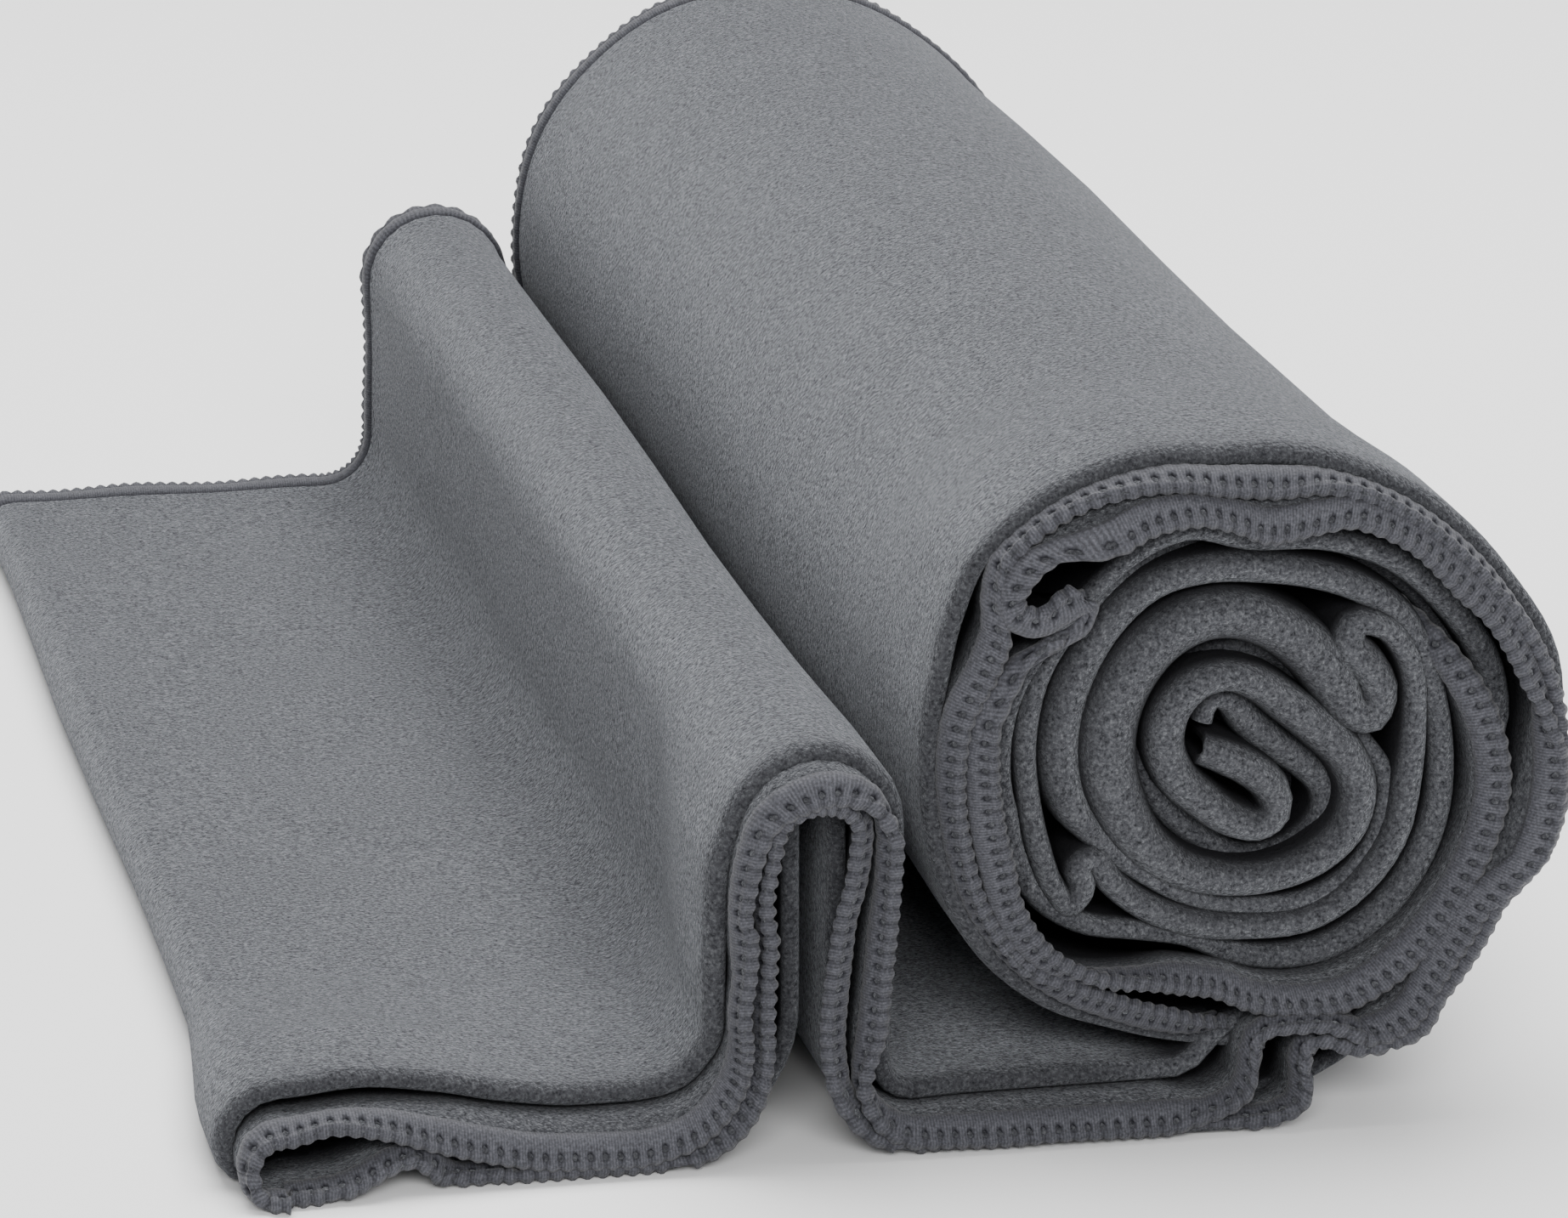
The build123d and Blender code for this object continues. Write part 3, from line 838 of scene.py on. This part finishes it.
def short_end_edging(name, half):
    """The edging of one short end, inside the core: along the folded row at the end of the path."""
    rows = Rows(np.linspace(PATH_LENGTH - 5.5, PATH_LENGTH, 12))
    rows = only(rows, rows.half == half)
    rows = only(rows, np.argsort(-rows.s))
    grid = cloth_grid(rows)
    gaps = np.linalg.norm(np.diff(grid, axis=0), axis=2).mean(axis=1)
    inward = np.concatenate([[0], np.cumsum(gaps)])
    steps = np.linalg.norm(np.diff(grid[0], axis=0), axis=1)
    reached = np.concatenate([[0], np.cumsum(steps)])
    distance = np.arange(0, reached[-1], STITCH / 3)

    def profile(u):
        k = min(max(int(np.searchsorted(inward, u)) - 1, 0), len(inward) - 2)
        t = (u - inward[k]) / (inward[k + 1] - inward[k])
        line = grid[k] * (1 - t) + grid[k + 1] * t
        return np.stack([np.interp(distance, reached, line[:, axis]) for axis in range(3)], 1)

    nose = len(OUTER_YS)
    near_fold = reached[nose:nose + 12].mean()
    proud = step_up((np.abs(distance - near_fold) - 14) / 6)
    return stitched_edge(name, distance, profile, CLOTH, SHORT_END_SWELL, proud)


cloth_parts = near_edgings + [
    far_edging,
    short_end_edging("short_end_thread_upper", UPPER),
    short_end_edging("short_end_thread_lower", LOWER),
]

# ---------------------------------------------------------------- materials

SUEDE_STOPS = [
    (0.34, (0.013, 0.014, 0.016)), (0.45, (0.045, 0.046, 0.052)),
    (0.54, (0.069, 0.071, 0.078)), (0.66, (0.126, 0.130, 0.139)),
]
THREAD_STOPS = [(0.28, (0.019, 0.019, 0.023)), (0.5, (0.043, 0.044, 0.053)), (0.72, (0.084, 0.085, 0.099))]
# Painted shade for the cloth between layers and in crevices.
PAINTED_SHADE_COLOUR = (0.012, 0.012, 0.014, 1)
# Painted shade in the stitch holes and the valleys along the thread.
PAINTED_STITCH_SHADE_COLOUR = (0.006, 0.006, 0.008, 1)
STRAND_PITCH = 0.38  # mm along the edge from one strand of thread to the next


def new_material(name):
    material = bpy.data.materials.new(name)
    material.use_nodes = True
    nodes = material.node_tree.nodes
    return material, nodes, material.node_tree.links, nodes["Principled BSDF"]


def noise(nodes, links, coords, scale, detail=2.0, rough=0.55):
    node = nodes.new("ShaderNodeTexNoise")
    node.inputs["Scale"].default_value = scale
    node.inputs["Detail"].default_value = detail
    node.inputs["Roughness"].default_value = rough
    links.new(coords, node.inputs["Vector"])
    return node.outputs["Fac"]


def maths(nodes, links, kind, a, b=None, clamp=False):
    node = nodes.new("ShaderNodeMath")
    node.operation = kind
    node.use_clamp = clamp
    for socket, value in zip(node.inputs, (a, b)):
        if value is None:
            continue
        if isinstance(value, (int, float)):
            socket.default_value = value
        else:
            links.new(value, socket)
    return node.outputs[0]


def ramp(nodes, links, value, stops):
    node = nodes.new("ShaderNodeValToRGB")
    while len(node.color_ramp.elements) < len(stops):
        node.color_ramp.elements.new(0.5)
    for element, (place, colour) in zip(node.color_ramp.elements, stops):
        element.position = place
        element.color = (*colour, 1)
    links.new(value, node.inputs["Fac"])
    return node.outputs["Color"]


def blend_colours(nodes, links, kind, amount, a, b):
    node = nodes.new("ShaderNodeMix")
    node.data_type = "RGBA"
    node.blend_type = kind
    for socket, value in ((node.inputs["Factor"], amount), (node.inputs["A"], a), (node.inputs["B"], b)):
        if isinstance(value, (int, float, tuple)):
            socket.default_value = value
        else:
            links.new(value, socket)
    return node.outputs["Result"]


def attribute(nodes, name):
    node = nodes.new("ShaderNodeAttribute")
    node.attribute_name = name
    return node.outputs["Fac"]


def suede_material():
    material, nodes, links, shader = new_material("suede_microfibre")
    coords = nodes.new("ShaderNodeTexCoord").outputs["Object"]
    grain = noise(nodes, links, coords, 1700, 3.0, 0.62)
    fine = noise(nodes, links, coords, 3000, 2.0, 0.6)
    cloudy = noise(nodes, links, coords, 55, 3.0, 0.6)
    coarse_part = maths(nodes, links, "MULTIPLY", grain, 0.6)
    fine_part = maths(nodes, links, "MULTIPLY", fine, 0.4)
    speckle = maths(nodes, links, "ADD", coarse_part, fine_part)
    colour = ramp(nodes, links, speckle, SUEDE_STOPS)
    clouds = ramp(nodes, links, cloudy, [(0.3, (0.93, 0.93, 0.93)), (0.7, (1.05, 1.05, 1.05))])
    colour = blend_colours(nodes, links, "MULTIPLY", 1.0, colour, clouds)
    # painted shade: the cloth goes dark between layers, at the sides of the fold noses and on the hem
    # leaves, and loses its sheen there
    painted_shade = attribute(nodes, "painted_shade")
    colour = blend_colours(nodes, links, "MIX", painted_shade, colour, PAINTED_SHADE_COLOUR)
    links.new(colour, shader.inputs["Base Color"])
    nap = maths(nodes, links, "SUBTRACT", maths(nodes, links, "MULTIPLY", speckle, 1.2), 0.32, True)
    sheen = maths(nodes, links, "MULTIPLY", maths(nodes, links, "SUBTRACT", 1.0, painted_shade), nap)
    shader.inputs["Sheen Tint"].default_value = (0.90, 0.94, 1.0, 1)
    links.new(sheen, shader.inputs["Sheen Weight"])
    shader.inputs["Roughness"].default_value = 0.95
    shader.inputs["Specular IOR Level"].default_value = 0.12
    shader.inputs["Sheen Roughness"].default_value = 0.45
    bump = nodes.new("ShaderNodeBump")
    bump.inputs["Strength"].default_value = 1.0
    bump.inputs["Distance"].default_value = 0.0008
    links.new(speckle, bump.inputs["Height"])
    links.new(bump.outputs["Normal"], shader.inputs["Normal"])
    return material


def thread_material():
    material, nodes, links, shader = new_material("edging_thread")
    coords = nodes.new("ShaderNodeTexCoord").outputs["Object"]
    fuzz = noise(nodes, links, coords, 3000, 3.0, 0.6)
    along = attribute(nodes, "along")
    painted_stitch_shade = attribute(nodes, "painted_stitch_shade")
    strand = maths(nodes, links, "SINE", maths(nodes, links, "MULTIPLY", along, 2 * pi / STRAND_PITCH))
    strand = maths(nodes, links, "MULTIPLY", maths(nodes, links, "ADD", strand, 1.0), 0.5)
    strand_part = maths(nodes, links, "MULTIPLY", strand, 0.16)
    fuzz_part = maths(nodes, links, "MULTIPLY", fuzz, 0.84)
    mixed = maths(nodes, links, "ADD", strand_part, fuzz_part)
    colour = ramp(nodes, links, mixed, THREAD_STOPS)
    # painted shade: the stitch holes and valleys turn near black and lose their sheen and gloss
    colour = blend_colours(nodes, links, "MIX", painted_stitch_shade, colour, PAINTED_STITCH_SHADE_COLOUR)
    links.new(colour, shader.inputs["Base Color"])
    shown = maths(nodes, links, "SUBTRACT", 1.0, painted_stitch_shade, True)
    shader.inputs["Roughness"].default_value = 0.7
    links.new(maths(nodes, links, "MULTIPLY", shown, 0.3), shader.inputs["Specular IOR Level"])
    links.new(maths(nodes, links, "MULTIPLY", shown, 0.12), shader.inputs["Sheen Weight"])
    bump = nodes.new("ShaderNodeBump")
    bump.inputs["Strength"].default_value = 0.8
    bump.inputs["Distance"].default_value = 0.0002
    links.new(mixed, bump.inputs["Height"])
    links.new(bump.outputs["Normal"], shader.inputs["Normal"])
    return material


def floor_material():
    material, nodes, links, shader = new_material("pale_floor")
    shader.inputs["Base Color"].default_value = (0.93, 0.93, 0.93, 1)
    shader.inputs["Roughness"].default_value = 0.9
    shader.inputs["Specular IOR Level"].default_value = 0.1
    return material


suede = suede_material()
thread = thread_material()
cloth.data.materials.append(suede)
for piece in cloth_parts:
    piece.data.materials.append(thread)

# ---------------------------------------------------------------- baked transforms, CAD parts hidden

CAD_NODES = list(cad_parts)
for piece in [cloth] + cloth_parts:
    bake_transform(piece)
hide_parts(*CAD_NODES)

# ---------------------------------------------------------------- floor and light

FLOOR_HALF = 3000
FLOOR_Z = -0.05
floor_corners = [(x * FLOOR_HALF, y * FLOOR_HALF, FLOOR_Z) for x, y in ((-1, -1), (1, -1), (1, 1), (-1, 1))]
floor = make_mesh("floor", floor_corners, [[0, 1, 2, 3]])
floor.data.materials.append(floor_material())


def area_light(name, place, target, size, power):
    data = bpy.data.lights.new(name, "AREA")
    data.shape = "RECTANGLE"
    data.size = size[0]
    data.size_y = size[1]
    data.energy = power
    lamp = bpy.data.objects.new(name, data)
    lamp.location = place
    way = Vector(target) - Vector(place)
    lamp.rotation_euler = way.to_track_quat("-Z", "Y").to_euler()
    bpy.context.scene.collection.objects.link(lamp)


TOP_POWER = 38
FRONT_POWER = 24
WORLD_STRENGTH = 0.42
area_light("top_light", (0.10, 0.35, 1.25), (0, 0, 0.04), (1.3, 1.1), TOP_POWER)
area_light("front_light", (-0.15, -1.5, 0.75), (0.02, -0.15, 0.04), (1.0, 0.6), FRONT_POWER)
world = bpy.data.worlds.new("world")
world.use_nodes = True
world.node_tree.nodes["Background"].inputs["Color"].default_value = (1, 1, 1, 1)
world.node_tree.nodes["Background"].inputs["Strength"].default_value = WORLD_STRENGTH
bpy.context.scene.world = world
